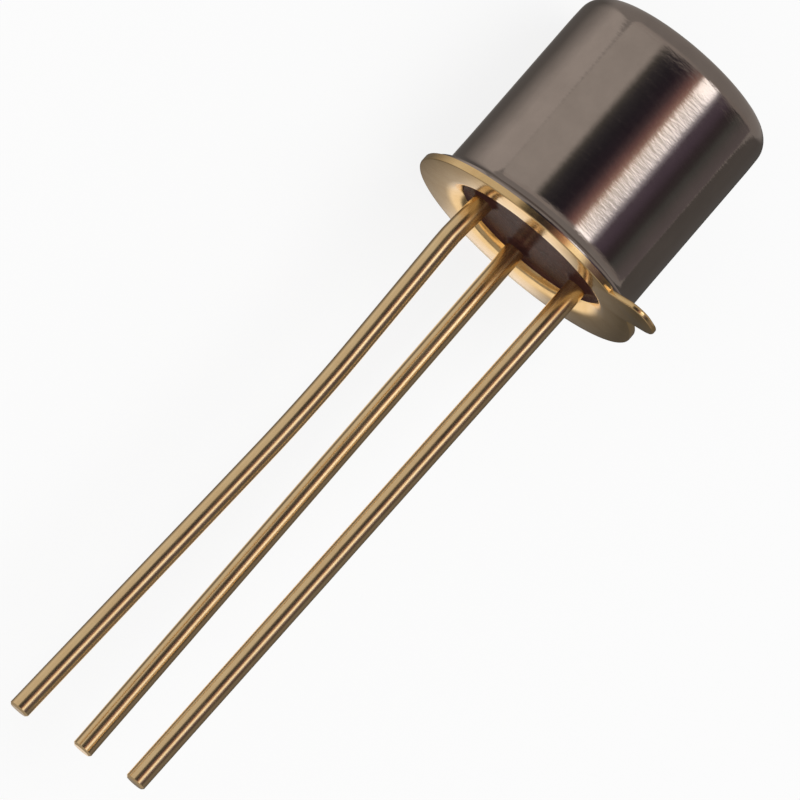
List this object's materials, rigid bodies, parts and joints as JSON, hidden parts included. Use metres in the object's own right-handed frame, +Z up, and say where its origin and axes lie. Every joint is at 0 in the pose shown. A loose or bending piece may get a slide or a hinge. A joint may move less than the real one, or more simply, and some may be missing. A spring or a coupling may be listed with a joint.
{
  "type": "bipolar transistor",
  "caption": "Small metal-can transistor: nickel cap on a gold-plated tabbed header, wire leads sealed in dark glass and slightly splayed.",
  "frame": {"origin": "middle of the bounding box's underside, on the surface that the part lies on", "axes": "+Y along the length, towards the can's closed top; +Z up, away from the surface; the emitter lead is on the +X side and the base lead is lowest"},
  "size_m": [0.0054, 0.0188, 0.0058],
  "materials": {
    "nickel": "polished",
    "gold_plate": "satin",
    "sealing_glass": "gloss",
    "silicon": "satin",
    "bond_wire": "satin"
  },
  "bodies": {
    "root": {"can": "nickel", "header_eyelet": "gold_plate", "glass_seal": "sealing_glass", "emitter_lead": "gold_plate", "base_lead": "gold_plate", "collector_lead": "gold_plate", "die_preform": "gold_plate", "silicon_die": "silicon", "emitter_bond_wire": "bond_wire", "base_bond_wire": "bond_wire"}
  },
  "joints": []
}
